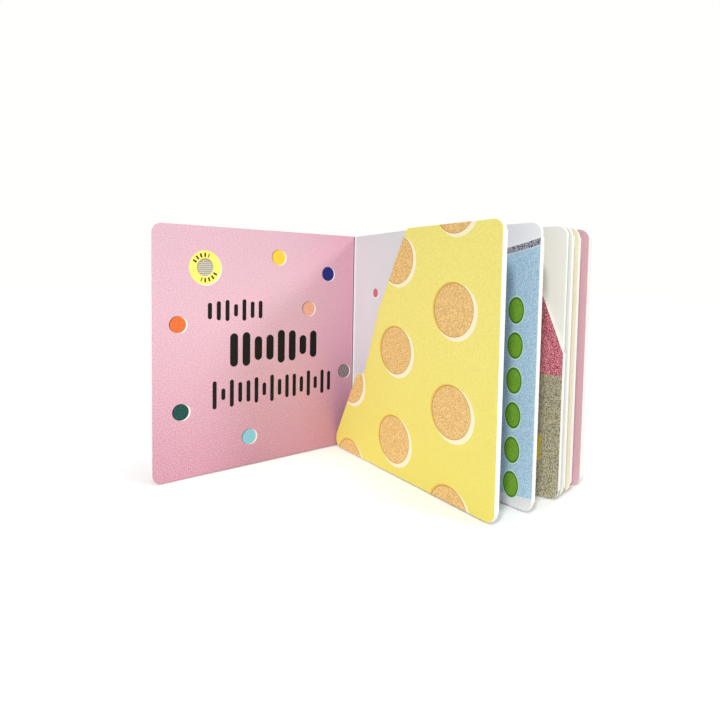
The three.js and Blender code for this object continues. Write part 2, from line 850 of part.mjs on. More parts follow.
function backCover() {
  const group = boardGroup(gutter(leafCount), backCoverAngle);
  const lastCell = cellCount - 1;
  group.add(
    piece('back_cover_page', backLiner(), material('backPage')),
    piece('back_cover_core', backCore(), material('greyBoard', 0.85)),
    piece('back_cover_panel', backPanel(), material('coverBoard')),
    piece('module_housing', moduleHousing(), material('plastic', 0.45)),
    piece('module_lead', moduleLead(), material('film', 0.4)),
    piece('circuit_board', circuitBoard(), material('circuit', 0.5)),
    piece('sound_chip', soundChip(), material('chip', 0.35)),
    piece('speaker_frame', speakerFrame(), material('speaker', 0.45, 0.6)),
    piece('speaker_magnet', speakerMagnet(), material('magnet', 0.4, 0.9)),
    piece('speaker_cone', speakerCone(), material('cone', 0.3)),
    piece('speaker_wire_upper', speakerWire(speakerWireSpread), material('wire', 0.5)),
    piece('speaker_wire_lower', speakerWire(-speakerWireSpread), material('chip', 0.5)),
    piece('battery_door', batteryDoor(), material('plastic', 0.45)),
    piece('battery_door_screw', doorScrew(), material('steel', 0.35, 1)),
    piece('contact_minus', contact(0, 0, contactFrom), material('steel', 0.3, 1)),
    piece('contact_link', contact(lastCell - 1, lastCell, contactFrom), material('steel', 0.3, 1)),
    piece('door_contact_link', contact(0, 1, doorContactFrom), material('steel', 0.3, 1)),
    piece('door_contact_plus', contact(lastCell, lastCell, doorContactFrom), material('steel', 0.3, 1)),
  );
  for (let index = 0; index < cellCount; index += 1) {
    group.add(piece(`battery_cell_${index + 1}`, batteryCell(index), material('steel', 0.3, 1)));
  }
  return group;
}

// The whole book, moved so that the origin is the middle of its footprint
const book = new THREE.Group();
book.add(frontCover(), leavesAndFlaps(), backCover());
book.updateMatrixWorld(true);
const footprint = new THREE.Box3().setFromObject(book, true);
const centre = footprint.getCenter(new THREE.Vector3());
book.position.set(-centre.x, -centre.y, -footprint.min.z);

export default book;
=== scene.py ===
import math

import bmesh
import bpy
import numpy as np
from mathutils import Matrix, Vector
from mathutils.geometry import tessellate_polygon


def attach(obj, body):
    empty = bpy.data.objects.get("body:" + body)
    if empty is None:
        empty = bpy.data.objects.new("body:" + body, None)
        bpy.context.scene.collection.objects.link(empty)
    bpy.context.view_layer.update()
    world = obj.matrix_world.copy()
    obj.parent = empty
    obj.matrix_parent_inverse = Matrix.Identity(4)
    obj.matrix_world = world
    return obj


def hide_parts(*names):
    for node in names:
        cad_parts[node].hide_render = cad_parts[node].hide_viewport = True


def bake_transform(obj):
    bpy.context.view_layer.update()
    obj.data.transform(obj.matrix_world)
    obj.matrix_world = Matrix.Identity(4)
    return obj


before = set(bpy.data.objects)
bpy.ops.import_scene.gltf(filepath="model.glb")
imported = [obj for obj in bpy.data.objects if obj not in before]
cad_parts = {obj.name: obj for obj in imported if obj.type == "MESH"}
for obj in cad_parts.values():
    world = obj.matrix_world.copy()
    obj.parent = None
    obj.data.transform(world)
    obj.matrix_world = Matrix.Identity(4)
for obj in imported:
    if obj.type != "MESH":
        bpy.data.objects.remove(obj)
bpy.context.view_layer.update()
print("frame:", len(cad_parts), "nodes")

# How the book stands: plan places in mm, angles in degrees from the left-right line
book = {
    "hinge": (-7.302, 67.575),
    "height": 170.0,
    "corner": 6.5,
    "coverWidth": 169.0,
    "coverStart": 0.45,
    "leafStart": 0.3,
    "leafWidth": 167.4,
    "leafThickness": 2.0,
    "leafPitch": 3.2,
    "frontAngle": 37.1,
    "leafAngles": (64.7, 55.2, 45.8, 44.6, 42.0),
    "slantedAngle": 58.9,
    "backAngle": 37.9,
    "spineAngle": 40.0,
    "foldReach": 168.05,
    "glueGap": 0.3,
}


# A board's own frame: along runs from the gutter to the fore-edge, away runs from the reader
class Board:
    def __init__(self, base, angle, side=1):
        self.base = np.array(base, float)
        self.angle = math.radians(angle)
        self.side = side
        self.along = np.array([side * math.cos(self.angle), -math.sin(self.angle)])
        self.away = np.array([side * math.sin(self.angle), math.cos(self.angle)])

    # The place in plan of a distance along and a depth, in mm
    def plan(self, along, depth):
        return self.base + np.multiply.outer(along, self.along) + np.multiply.outer(depth, self.away)

    # Along, depth and height in mm become points of the object in metres
    def points(self, along, depth, height):
        return np.concatenate([self.plan(along, depth), height[..., None]], -1) / 1000


spine = Board(book["hinge"], -book["spineAngle"])
frontBoard = Board(book["hinge"], book["frontAngle"], -1)
leafBoards = [
    Board(spine.plan(index * book["leafPitch"], 0), angle)
    for index, angle in enumerate(book["leafAngles"])
]
backBoard = Board(spine.plan(5 * book["leafPitch"], 0), book["backAngle"])
foldBoards = [
    Board(leaf.plan(book["foldReach"], -book["glueGap"]), book["slantedAngle"] if index == 0 else angle)
    for index, (leaf, angle) in enumerate(zip(leafBoards, book["leafAngles"]))
]


# Points on a circle between two angles in degrees; all outlines are in mm
def arc(centre, radius, start, end, steps=9):
    turn = np.radians(np.linspace(start, end, steps))
    return np.stack([centre[0] + radius * np.cos(turn), centre[1] + radius * np.sin(turn)], 1)


# A Bezier curve: neighbouring control points are mixed by the parameter until one point is left
def bezier(controls, steps=9):
    part = np.linspace(0, 1, steps)[:, None, None]
    level = np.array(controls, float)[None].repeat(steps, 0)
    while level.shape[1] > 1:
        level = level[:, :-1] * (1 - part) + level[:, 1:] * part
    return level[:, 0]


# Stretches of points as one closed outline, without points that fall on their neighbour
def closed(*stretches):
    outline = np.concatenate([np.atleast_2d(np.array(stretch, float)) for stretch in stretches])
    apart = np.linalg.norm(outline - np.roll(outline, 1, 0), axis=1)
    return outline[apart > 1e-4]


# A rectangle with four rounded corners
def rectangleOutline(left, bottom, right, top, radius=0.01):
    return closed(
        arc((right - radius, bottom + radius), radius, -90, 0, 5),
        arc((right - radius, top - radius), radius, 0, 90, 5),
        arc((left + radius, top - radius), radius, 90, 180, 5),
        arc((left + radius, bottom + radius), radius, 180, 270, 5),
    )


# A board is square at the gutter and rounded at its two outer corners
def boardOutline(start, width):
    radius, height = book["corner"], book["height"]
    return closed(
        (start, 0),
        arc((width - radius, radius), radius, -90, 0, 13),
        arc((width - radius, height - radius), radius, 0, 90, 13),
        (start, height),
    )


# The first flap's free edge slants down from its top, gets a row of bites and ends in a round foot
slanted = {"top": 81.0, "foot": 8.0, "clear": 0.4, "biteTop": 112.0, "biteBottom": 65.0, "bites": 5,
           "biteDepth": 8.0, "scallop": 1.6, "lip": 2.5}


def slantedOutline():
    # The free corner stops short of the front cover: the distance to the cover over the closing rate
    cover = frontBoard
    fold = leafBoards[0].plan(book["foldReach"], 0) - cover.base
    normal = np.array([-cover.along[1], cover.along[0]])
    reach = (fold @ normal - slanted["clear"]) / (foldBoards[0].along @ normal)
    radius, height = book["corner"], book["height"]
    slope = (reach - slanted["top"]) / (height - slanted["foot"])

    def edge(level):
        return -(slanted["top"] + (height - level) * slope)

    high = height - radius / 2
    stretches = [
        (-reach + radius, 0),
        arc((-radius, radius), radius, -90, 0, 13),
        arc((-radius, height - radius), radius, 0, 90, 13),
        bezier([(-slanted["top"] + radius / 2, height), (edge(height), height), (edge(high), high)]),
    ]
    step = (slanted["biteTop"] - slanted["biteBottom"]) / slanted["bites"]
    last = (edge(slanted["biteTop"]), slanted["biteTop"])
    for bite in range(slanted["bites"]):
        end = slanted["biteTop"] - (bite + 1) * step
        middle = end + step / 2
        depthEnd = slanted["biteDepth"] * (bite + 1) / slanted["bites"]
        depthMiddle = slanted["biteDepth"] * (bite + 0.5) / slanted["bites"] + slanted["scallop"]
        corner = (edge(end) + depthEnd, end)
        stretches.append(bezier([last, (edge(middle) + depthMiddle, middle), corner], 7))
        last = corner
    lip = slanted["biteBottom"] - slanted["lip"]
    foot = slanted["foot"] + radius / 2
    stretches += [
        (edge(lip), lip),
        bezier([(edge(foot), foot), (-reach, slanted["foot"]), (-reach, 0), (-reach + radius, 0)], 13),
    ]
    return closed(*stretches)


# The second flap's rim is a parabola that sags between its ends
tank = {"reach": 148.05, "rim": 161.0, "sag": 10.0}


def tankOutline():
    radius, reach, rim, sag = book["corner"], tank["reach"], tank["rim"], tank["sag"]
    return closed(
        (-reach + radius, 0),
        arc((-radius, radius), radius, -90, 0, 13),
        bezier([(0, rim), (-reach / 2, rim - 2 * sag), (-reach, rim)], 33),
        arc((-reach + radius, radius), radius, 180, 270, 13),
    )


# The third flap rises straight to its eaves and then slopes to a level ridge
house = {"reach": 146.05, "eave": 92.0, "ridge": 163.0, "slope": 28.0}


def houseOutline():
    radius, reach, eave, ridge = book["corner"], house["reach"], house["eave"], house["ridge"]
    return closed(
        (-reach + radius, 0),
        arc((-radius, radius), radius, -90, 0, 13),
        (0, eave),
        (-house["slope"], ridge),
        (-reach + house["slope"], ridge),
        (-reach, eave),
        arc((-reach + radius, radius), radius, 180, 270, 13),
    )


plain = {"reach": 120.05}


def plainOutline():
    return rectangleOutline(-plain["reach"], 0, 0, book["height"], book["corner"])


# A rim section from the front face over the edge to the back face: how far in from the outline, and how deep.
# Between the two faces it turns on two quarter circles. It also says which finish each band has
# (0 front, 1 back, 2 cut edge) and how worn each ring is (1 at the cut edge, 0 on the faces).
def rim(front, back, roundness=0.3, lip=0.9, behind=None):
    turn = np.linspace(0, math.pi / 2, 5)
    inset = roundness * (1 - np.sin(turn))
    fall = roundness * (1 - np.cos(turn))
    share = 1 if behind is None else behind / roundness
    way = 1 if back > front else -1
    near = np.stack([np.append(lip, inset), np.append(front, front + way * fall)], 1)
    far = np.stack([np.append(lip, inset * share), np.append(back, back - way * fall * share)], 1)[::-1]
    wear = np.array([0, 0.45, 0.65, 0.9, 1, 1])
    bands = [0, 0, 0, 2, 2, 2, 2, 2, 1, 1, 1]
    return {"section": np.concatenate([near, far]), "bands": bands, "wear": np.append(wear, wear[::-1])}


# Each ring of a shell is its outline moved in along the mitre of its two edges, by twice the inset at most
def carried(outline, inset):
    ahead = np.roll(outline, -1, 0) - outline
    ahead /= np.linalg.norm(ahead, axis=1, keepdims=True)
    before = np.roll(ahead, 1, 0)
    facing = np.stack([ahead[:, 1] + before[:, 1], -ahead[:, 0] - before[:, 0]], 1)
    mitre = facing / np.maximum(1 + (ahead * before).sum(1), 0.5)[:, None]
    return outline[None] - inset[:, None, None] * mitre[None]


# A closed shell: a rim carried round an outline and its holes, with its first and last rings filled.
# A flat board's outline is drawn along and up, an upright's in plan.
def shell(board, outlines, edge, upright=False, shape=None):
    section = edge["section"]
    rows = len(section)
    rings = [carried(outline, section[:, 0]) for outline in outlines]
    level = section[:, 1]
    points, faces, bands, wear, first = [], [], [], [], []
    start = 0
    for ring in rings:
        count = ring.shape[1]
        height = np.broadcast_to(level[:, None], ring.shape[:2])
        if shape is not None:
            height = height + shape(ring[..., 0], ring[..., 1], height)
        if upright:
            places = board.points(ring[..., 0], ring[..., 1], height)
        else:
            places = board.points(ring[..., 0], height, ring[..., 1])
        points.append(places.reshape(-1, 3))
        wear.append(np.repeat(edge["wear"], count))
        index = start + np.arange(rows * count).reshape(rows, count)
        beside = np.roll(index, -1, 1)
        quads = np.stack([index[:-1], beside[:-1], beside[1:], index[1:]], -1)
        faces += quads.reshape(-1, 4).tolist()
        bands += np.repeat(edge["bands"], count).tolist()
        first.append((index[0], index[-1]))
        start += rows * count
    for end, band in ((0, edge["bands"][0]), (1, edge["bands"][-1])):
        joined = np.concatenate([pair[end] for pair in first])
        if len(rings) == 1:
            faces.append(joined.tolist())
            bands.append(band)
            continue
        flat = [[Vector((x, y, 0)) for x, y in ring[-1 if end else 0]] for ring in rings]
        triangles = [joined[list(triangle)].tolist() for triangle in tessellate_polygon(flat)]
        faces += triangles
        bands += [band] * len(triangles)
    return {"points": np.concatenate(points), "faces": faces, "bands": bands, "wear": np.concatenate(wear)}


# Shells as one mesh object that rides on a body and stands for CAD nodes
def makePiece(name, shells, finishes, body, stands=(), blend=None, across=None):
    points = np.concatenate([part["points"] for part in shells])
    starts = np.cumsum([0] + [len(part["points"]) for part in shells])
    faces = [[v + start for v in face] for part, start in zip(shells, starts) for face in part["faces"]]
    bands = [band for part in shells for band in part["bands"]]
    mesh = bpy.data.meshes.new(name)
    mesh.from_pydata(points.tolist(), [], faces)
    mesh.polygons.foreach_set("material_index", bands)
    mesh.polygons.foreach_set("use_smooth", [True] * len(faces))
    worn = mesh.attributes.new("wear", "FLOAT", "POINT")
    worn.data.foreach_set("value", np.concatenate([part["wear"] for part in shells]).astype(np.float32))
    if across is not None:
        spread = mesh.attributes.new("across", "FLOAT", "POINT")
        spread.data.foreach_set("value", across.astype(np.float32))
    for finish in finishes:
        mesh.materials.append(finish)
    tidy = bmesh.new()
    tidy.from_mesh(mesh)
    bmesh.ops.recalc_face_normals(tidy, faces=tidy.faces)
    tidy.to_mesh(mesh)
    tidy.free()
    mesh.set_sharp_from_angle(angle=math.radians(40))
    made = bpy.data.objects.new(name, mesh)
    bpy.context.scene.collection.objects.link(made)
    if blend:
        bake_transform(made)
    else:
        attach(made, body)
    if stands:
        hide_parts(*stands)
    return made


# A colour as the eye reads it on a screen, from 0 to 1, made linear
def ink(red, green, blue):
    values = [c / 12.92 if c <= 0.04045 else ((c + 0.055) / 1.055) ** 2.4 for c in (red, green, blue)]
    return (*values, 1.0)


# A node's output that can be reckoned with like a number
class Wire:
    def __init__(self, finish, socket):
        self.finish = finish
        self.socket = socket

    def __add__(self, other):
        return self.finish.maths("ADD", self, other)

    def __sub__(self, other):
        return self.finish.maths("SUBTRACT", self, other)

    def __rsub__(self, other):
        return self.finish.maths("SUBTRACT", other, self)

    def __mul__(self, other):
        return self.finish.maths("MULTIPLY", self, other)

    def __truediv__(self, other):
        return self.finish.maths("DIVIDE", self, other)

    def __mod__(self, other):
        return self.finish.maths("FLOORED_MODULO", self, other)

    def __abs__(self):
        return self.finish.maths("ABSOLUTE", self)

    __radd__ = __add__
    __rmul__ = __mul__


# A material, or the studio's world, and its nodes
class Finish:
    def __init__(self, name, kind="materials"):
        self.material = getattr(bpy.data, kind).new(name)
        self.material.use_nodes = True
        self.tree = self.material.node_tree
        self.tree.nodes.clear()

    # A node of one type, with its settings first, then the values or links of its sockets
    def node(self, kind, settings, sockets, output=0):
        made = self.tree.nodes.new("ShaderNode" + kind)
        for key, value in settings.items():
            setattr(made, key, value)
        for key, value in sockets.items():
            if isinstance(value, Wire):
                self.tree.links.new(value.socket, made.inputs[key])
            else:
                made.inputs[key].default_value = value
        return Wire(self, made.outputs[output]) if made.outputs else None

    def maths(self, operation, *values):
        return self.node("Math", {"operation": operation}, dict(enumerate(values)))

    # Object coordinates turned into the board's own, in mm: along, depth and height
    def boardPlace(self, board):
        turn = Matrix.Rotation(board.angle, 2)
        base = turn @ Vector((board.side * board.base[0], board.base[1]))
        return self.node("Mapping", {"vector_type": "POINT"}, {
            "Vector": self.node("TexCoord", {}, {}, "Object"),
            "Location": (-base.x, -base.y, 0),
            "Rotation": (0, 0, board.angle),
            "Scale": (board.side * 1000, 1000, 1000),
        })

    # Object coordinates in mm
    def objectPlace(self):
        return self.node("Mapping", {"vector_type": "POINT"}, {
            "Vector": self.node("TexCoord", {}, {}, "Object"), "Scale": (1000, 1000, 1000)})

    def noise(self, place, scale, detail=2.0, roughness=0.5):
        return self.node("TexNoise", {}, {
            "Vector": place, "Scale": scale, "Detail": detail, "Roughness": roughness})

    # 1 below the first number, 0 above the second, smooth between
    def falling(self, value, start, end):
        return self.node("MapRange", {"interpolation_type": "SMOOTHSTEP"}, {
            "Value": value, "From Min": start, "From Max": end, "To Min": 1.0, "To Max": 0.0})

    # Full within a distance, with a printed edge's softness
    def within(self, distance, limit, softness=0.15):
        return self.falling(distance, limit - softness, limit + softness)

    # One colour printed over another; each is a wire, or three numbers as the eye reads them
    def over(self, ground, colour, mask):
        ground, colour = (ink(*tint) if isinstance(tint, tuple) else tint for tint in (ground, colour))
        return self.node("Mix", {"data_type": "RGBA"}, {0: mask, 6: ground, 7: colour}, 2)

    # The distance in the board's face from a point
    def reach(self, flat, along, height):
        return self.node("VectorMath", {"operation": "DISTANCE"}, {0: flat, 1: (along, 0, height)}, 1)

    # A place's distance along the board and its height
    def alongAndUp(self, flat):
        return self.node("SeparateXYZ", {}, {0: flat}, "X"), self.node("SeparateXYZ", {}, {0: flat}, "Z")

    # The length of a step aside and a step up
    def apart(self, beside, above):
        return self.maths("SQRT", beside * beside + above * above)

    # Steps aside and up from the middle of the nearest place of a staggered lattice
    def lattice(self, flat, pitch, shift):
        alongWire, heightWire = self.alongAndUp(flat)
        alongWire, heightWire = alongWire - shift[0], heightWire - shift[1]
        stagger = (self.maths("FLOOR", alongWire / pitch[0]) % 2) * (pitch[1] / 2)
        beside = alongWire % pitch[0] - pitch[0] / 2
        above = (heightWire + stagger) % pitch[1] - pitch[1] / 2
        return beside, above

    # Specks of ink: fine noise with its contrast raised, from 0 to 1
    def specks(self, place, size):
        return 1 - self.falling(self.noise(place, 1 / size, 1.5, 0.6), 0.41, 0.59)

    def bump(self, height, distance, strength=1.0):
        return self.node("Bump", {}, {"Height": height, "Distance": distance / 1000, "Strength": strength})

    # The shader and the output
    def surface(self, sockets):
        shader = self.node("BsdfPrincipled", {}, sockets)
        self.node("OutputMaterial", {}, {"Surface": shader})
        return self.material


# Printed and laminated board: two inks in specks, a pattern over them, pale rubbed edges
def printed(name, board, inks, pattern=None):
    finish = Finish(name)
    place = finish.boardPlace(board)
    flat = finish.node("VectorMath", {"operation": "MULTIPLY"}, {0: place, 1: (1, 0, 1)})
    specks = finish.specks(place, inks.get("speck", 0.55))
    colour = finish.over(inks["light"], inks["dark"], specks)
    if pattern:
        colour = pattern(finish, flat, specks, colour)
    # The rim's wear, frayed by noise, is where the ink has rubbed off
    worn = finish.node("Attribute", {"attribute_name": "wear"}, {}, "Fac")
    fray = finish.noise(place, 0.9, 3.0, 0.6)
    rubbed = 1 - finish.falling(worn + (fray - 0.5) * 0.5, 0.62, 1.0)
    colour = finish.over(colour, inks.get("rubbed", (0.98, 0.97, 0.95)), rubbed)
    fibre = finish.noise(place, 2.4, 3.0, 0.6)
    return finish.surface({
        "Base Color": colour,
        "Roughness": 0.5 + finish.noise(place, 0.05, 2.0) * 0.12,
        "Specular IOR Level": 0.2,
        "Coat Weight": 0.03,
        "Coat Roughness": 0.35,
        "Normal": finish.bump(fibre, 0.012, 0.5),
    })


# The cut edge of white board: thin plies that run along the edge, and a few loose fibres
def cutEdge(name, board, white=(0.98, 0.975, 0.96), shade=(0.86, 0.85, 0.83)):
    finish = Finish(name)
    place = finish.boardPlace(board)
    plies = finish.node("VectorMath", {"operation": "MULTIPLY"}, {0: place, 1: (0.12, 4.0, 0.12)})
    layer = finish.noise(plies, 1.0, 2.0, 0.6)
    fibre = finish.noise(place, 3.0, 2.0, 0.6)
    colour = finish.over(white, shade, finish.falling(layer, 0.3, 0.62) * 0.35)
    return finish.surface({
        "Base Color": colour,
        "Roughness": 0.8 + fibre * 0.15,
        "Specular IOR Level": 0.2,
        "Normal": finish.bump(layer + fibre * 0.6, 0.03, 0.7),
    })


# The inside of the front cover, seen by the reader with large along numbers at the left.
# A fade goes from its first place to its second, with one share everywhere and one more in the specks.
# A shift moves a mark's pale or deep copy aside and up.
frontPrint = {
    "light": (0.925, 0.785, 0.84),
    "dark": (0.87, 0.685, 0.76),
    "rubbed": (0.97, 0.90, 0.91),
    "speck": 0.75,
    # fold and foot are painted shade: deeper pinks that darken the page near the gutter and near its bottom
    "fold": {"ink": (0.92, 0.55, 0.64), "fade": (-10, 75), "share": 0.25, "inSpecks": 0.3},
    "foot": {"ink": (0.75, 0.50, 0.58), "fade": (-25, 125), "share": 0.55, "inSpecks": 0.4},
    "ring": {"radius": 11.5, "light": (1, 0.97, 0.5), "dark": (0.98, 0.93, 0.42), "specks": 0.6,
             "pale": (1, 0.98, 0.86), "paleShift": (-0.8, -0.7)},
    "ticks": {"ink": (0.16, 0.15, 0.12), "count": 18, "middle": 8.5, "halfWidth": 0.6, "halfLength": 1.45,
              "turned": 0.44, "free": 0.70},
    # The recess ink is a painted shadow: a dark olive ring round the button's hole, shifted up and towards
    # the gutter
    "recess": {"ink": (0.42, 0.40, 0.20), "radius": 5.85, "shift": (-0.15, 0.25)},
    "barInk": (0.07, 0.06, 0.07),
    "pale": (1, 0.97, 0.96),
    "paleShift": (-1.1, -0.3),
    "deepShade": 0.62,
    "deepShift": (0.6, 0.25),
    "dotRadius": 5.5,
    "dots": [
        (74.0, 150.5, (0.97, 0.86, 0.30), (0.95, 0.80, 0.22)),
        (28.0, 139.0, (0.16, 0.20, 0.55), (0.10, 0.13, 0.42)),
        (46.5, 112.0, (0.97, 0.74, 0.64), (0.93, 0.66, 0.56)),
        (151.5, 104.0, (0.93, 0.50, 0.26), (0.88, 0.40, 0.18)),
        (149.5, 45.5, (0.13, 0.36, 0.33), (0.08, 0.22, 0.22)),
        (98.0, 20.5, (0.60, 0.84, 0.89), (0.50, 0.76, 0.84)),
        (10.5, 60.0, (0.66, 0.62, 0.60), (0.42, 0.38, 0.38)),
    ],
    "bars": [
        {"from": 86.0, "count": 7, "pitch": 6.6, "width": 3.1, "level": 112.5,
         "low": 2.4, "high": 6.2, "wave": 1.9},
        {"from": 37.0, "count": 8, "pitch": 9.8, "width": 6.2, "level": 84.5,
         "low": 3.4, "high": 9.4, "wave": 2.3},
        {"from": 23.0, "count": 16, "pitch": 6.6, "width": 3.1, "level": 54.0,
         "low": 2.2, "high": 8.4, "wave": 1.3},
    ],
    "barPhase": 0.7,
}


def frontPattern(finish, flat, specks, colour):
    p = frontPrint

    def disc(along, height, radius, shift=(0, 0), softness=0.15):
        return finish.within(finish.reach(flat, along + shift[0], height + shift[1]), radius, softness)

    # Painted shade: the pink is made redder and darker towards the fold and towards the foot
    alongWire, heightWire = finish.alongAndUp(flat)
    for wire, tint in ((alongWire, p["fold"]), (heightWire, p["foot"])):
        share = finish.falling(wire, *tint["fade"]) * (tint["share"] + specks * tint["inSpecks"])
        colour = finish.over(colour, tint["ink"], share)
    for along, height, light, dark in p["dots"]:
        colour = finish.over(colour, p["pale"], disc(along, height, p["dotRadius"], p["paleShift"]))
        deep = tuple(part * p["deepShade"] for part in dark)
        colour = finish.over(colour, deep, disc(along, height, p["dotRadius"], p["deepShift"]))
        colour = finish.over(colour, finish.over(light, dark, specks), disc(along, height, p["dotRadius"]))
    ring, ticks, recess = p["ring"], p["ticks"], p["recess"]
    along, height = button["along"], button["height"]
    centre = finish.reach(flat, along, height)
    yellow = finish.over(ring["light"], ring["dark"], specks * ring["specks"])
    colour = finish.over(colour, ring["pale"], disc(along, height, ring["radius"], ring["paleShift"]))
    colour = finish.over(colour, yellow, finish.within(centre, ring["radius"]))
    # Dial ticks round the button: equal steps of angle, kept to a band of radius and to two stretches
    turn = finish.maths("ARCTAN2", heightWire - height, alongWire - along)
    step = 2 * math.pi / ticks["count"]
    off = abs(turn % step - step / 2) * centre
    marks = finish.within(off, ticks["halfWidth"], 0.1)
    marks = marks * finish.within(abs(centre - ticks["middle"]), ticks["halfLength"], 0.1)
    free = finish.within(abs(finish.maths("SINE", turn + ticks["turned"])), ticks["free"], 0.01)
    colour = finish.over(colour, ticks["ink"], marks * (1 - free))
    # Painted shadow round the button's hole, off centre up and towards the gutter
    colour = finish.over(colour, recess["ink"], disc(along, height, recess["radius"], recess["shift"], 0.3))
    # Bars like a sound's levels: each column is a rounded stroke about the row's middle line
    for row in p["bars"]:
        column = finish.maths("FLOOR", (alongWire - row["from"]) / row["pitch"])
        column = finish.maths("MINIMUM", finish.maths("MAXIMUM", column, 0), row["count"] - 1)
        beside = alongWire - row["from"] - (column + 0.5) * row["pitch"]
        swing = abs(finish.maths("SINE", column * row["wave"] + p["barPhase"]))
        tall = row["low"] + swing * (row["high"] - row["low"])
        above = finish.maths("MAXIMUM", abs(heightWire - row["level"]) - tall, 0)
        stroke = finish.within(finish.apart(beside, above), row["width"] / 2, 0.12)
        colour = finish.over(colour, p["barInk"], stroke)
    return colour


# A layer of a spot is its step aside, its step up, how much larger it is than the spot, and its ink or inks
spotPrint = {
    "light": (0.935, 0.90, 0.515),
    "dark": (0.905, 0.86, 0.465),
    "speck": 0.6,
    # The foot's ink is painted shade: the yellow darkens towards the bottom
    "foot": {"ink": (0.89, 0.84, 0.38), "fade": (-10, 120), "share": 0.6},
    "pitch": (54.0, 62.0),
    "shift": (-9.0, -6.0),
    "radius": 16.5,
    "under": [
        (2.2, -1.4, 0.8, (0.965, 0.93, 0.80)),
        (-1.2, 0.5, 0.0, (0.90, 0.77, 0.35)),
        (0.0, 0.0, 0.0, (0.73, 0.57, 0.30)),
    ],
    "face": (0.15, -0.05, -0.55, (0.945, 0.81, 0.55), (0.81, 0.645, 0.385)),
}


# Staggered spots: each has a pale crescent on one side, an ochre one on the other and a thin dark outline
def spotPattern(finish, flat, specks, colour):
    # Painted shade: the yellow is darkened towards the foot
    foot = spotPrint["foot"]
    fade = finish.falling(finish.alongAndUp(flat)[1], *foot["fade"]) * foot["share"]
    colour = finish.over(colour, foot["ink"], fade)
    beside, above = finish.lattice(flat, spotPrint["pitch"], spotPrint["shift"])

    def layer(aside, up, larger):
        return finish.within(finish.apart(beside - aside, above - up), spotPrint["radius"] + larger)

    for *place, tint in spotPrint["under"]:
        colour = finish.over(colour, tint, layer(*place))
    *place, light, dark = spotPrint["face"]
    return finish.over(colour, finish.over(light, dark, specks), layer(*place))


tankPrint = {
    "light": (0.77, 0.88, 0.945),
    "dark": (0.63, 0.755, 0.845),
    "speck": 0.6,
    "line": {"width": 0.6, "ink": (0.88, 0.91, 0.94)},
    "band": {"width": 4.1, "light": (0.78, 0.77, 0.80), "dark": (0.30, 0.30, 0.36)},
    "sand": {"height": 9.0, "slope": 0.12, "light": (0.92, 0.92, 0.91), "dark": (0.88, 0.885, 0.88)},
    "pitch": (14.5, 21.0),
    "shift": (-22.0, 3.0),
    "halfSize": (5.3, 7.9),
    "lowest": 10.0,
    "highest": 122.0,
    "free": 7.0,
    "outlines": [(1.12, (0.80, 0.92, 0.82)), (1.0, (0.26, 0.46, 0.14))],
    "oval": {"size": 0.86, "light": (0.52, 0.71, 0.22), "dark": (0.42, 0.62, 0.17)},
}


def tankPattern(finish, flat, specks, colour):
    p = tankPrint
    line, band, sand, leaf = p["line"], p["band"], p["sand"], p["oval"]
    alongWire, heightWire = finish.alongAndUp(flat)
    # The rim sags in a parabola: under its ends by four sags times the part along and the part left
    part = alongWire / -tank["reach"]
    below = tank["rim"] - 4 * tank["sag"] * (part * (1 - part)) - heightWire
    grey = finish.over(band["light"], band["dark"], specks)
    colour = finish.over(colour, line["ink"], finish.within(below, band["width"] + line["width"], 0.2))
    colour = finish.over(colour, grey, finish.within(below, band["width"], 0.2))
    pale = finish.over(sand["light"], sand["dark"], specks)
    bank = heightWire - alongWire * sand["slope"]
    colour = finish.over(colour, pale, finish.within(bank, sand["height"], 0.2))
    # Staggered ovals with a darker and a pale outline; their middles lie between two heights
    beside, above = finish.lattice(flat, p["pitch"], p["shift"])
    oval = finish.apart(beside / p["halfSize"][0], above / p["halfSize"][1])
    middle, half = (p["lowest"] + p["highest"]) / 2, (p["highest"] - p["lowest"]) / 2
    keep = finish.within(abs(heightWire - above - middle), half, 0.1)
    keep = keep * finish.within(alongWire, -p["free"], 0.1)
    for size, tint in p["outlines"]:
        colour = finish.over(colour, tint, finish.within(oval, size, 0.03) * keep)
    green = finish.over(leaf["light"], leaf["dark"], specks)
    return finish.over(colour, green, finish.within(oval, leaf["size"], 0.03) * keep)


housePrint = {
    "light": (0.95, 0.60, 0.65),
    "dark": (0.61, 0.26, 0.34),
    "speck": 0.6,
    "wall": {"height": 78.0, "light": (0.79, 0.77, 0.66), "dark": (0.50, 0.48, 0.38)},
    "mark": {"along": -14.0, "height": 31.0, "halfWidth": 2.0, "halfHeight": 8.0,
             "light": (0.91, 0.83, 0.28), "dark": (0.80, 0.71, 0.18)},
}


# A field over a wall in another ink, and one upright mark on the wall
def housePattern(finish, flat, specks, colour):
    wall, mark = housePrint["wall"], housePrint["mark"]
    alongWire, heightWire = finish.alongAndUp(flat)
    taupe = finish.over(wall["light"], wall["dark"], specks)
    colour = finish.over(colour, taupe, finish.within(heightWire, wall["height"], 0.2))
    past = finish.maths("MAXIMUM", abs(alongWire - mark["along"]) - mark["halfWidth"],
                        abs(heightWire - mark["height"]) - mark["halfHeight"])
    return finish.over(colour, finish.over(mark["light"], mark["dark"], specks), finish.within(past, 0))


# The first leaf's bare page holds one small round mark beside the flap, with a pale one behind it
leafMark = {"place": (33.0, 125.0), "radius": 3.5, "light": (0.88, 0.50, 0.56), "dark": (0.70, 0.34, 0.42),
            "palePlace": (33.7, 124.6), "paleRadius": 3.7, "pale": (0.98, 0.95, 0.97)}


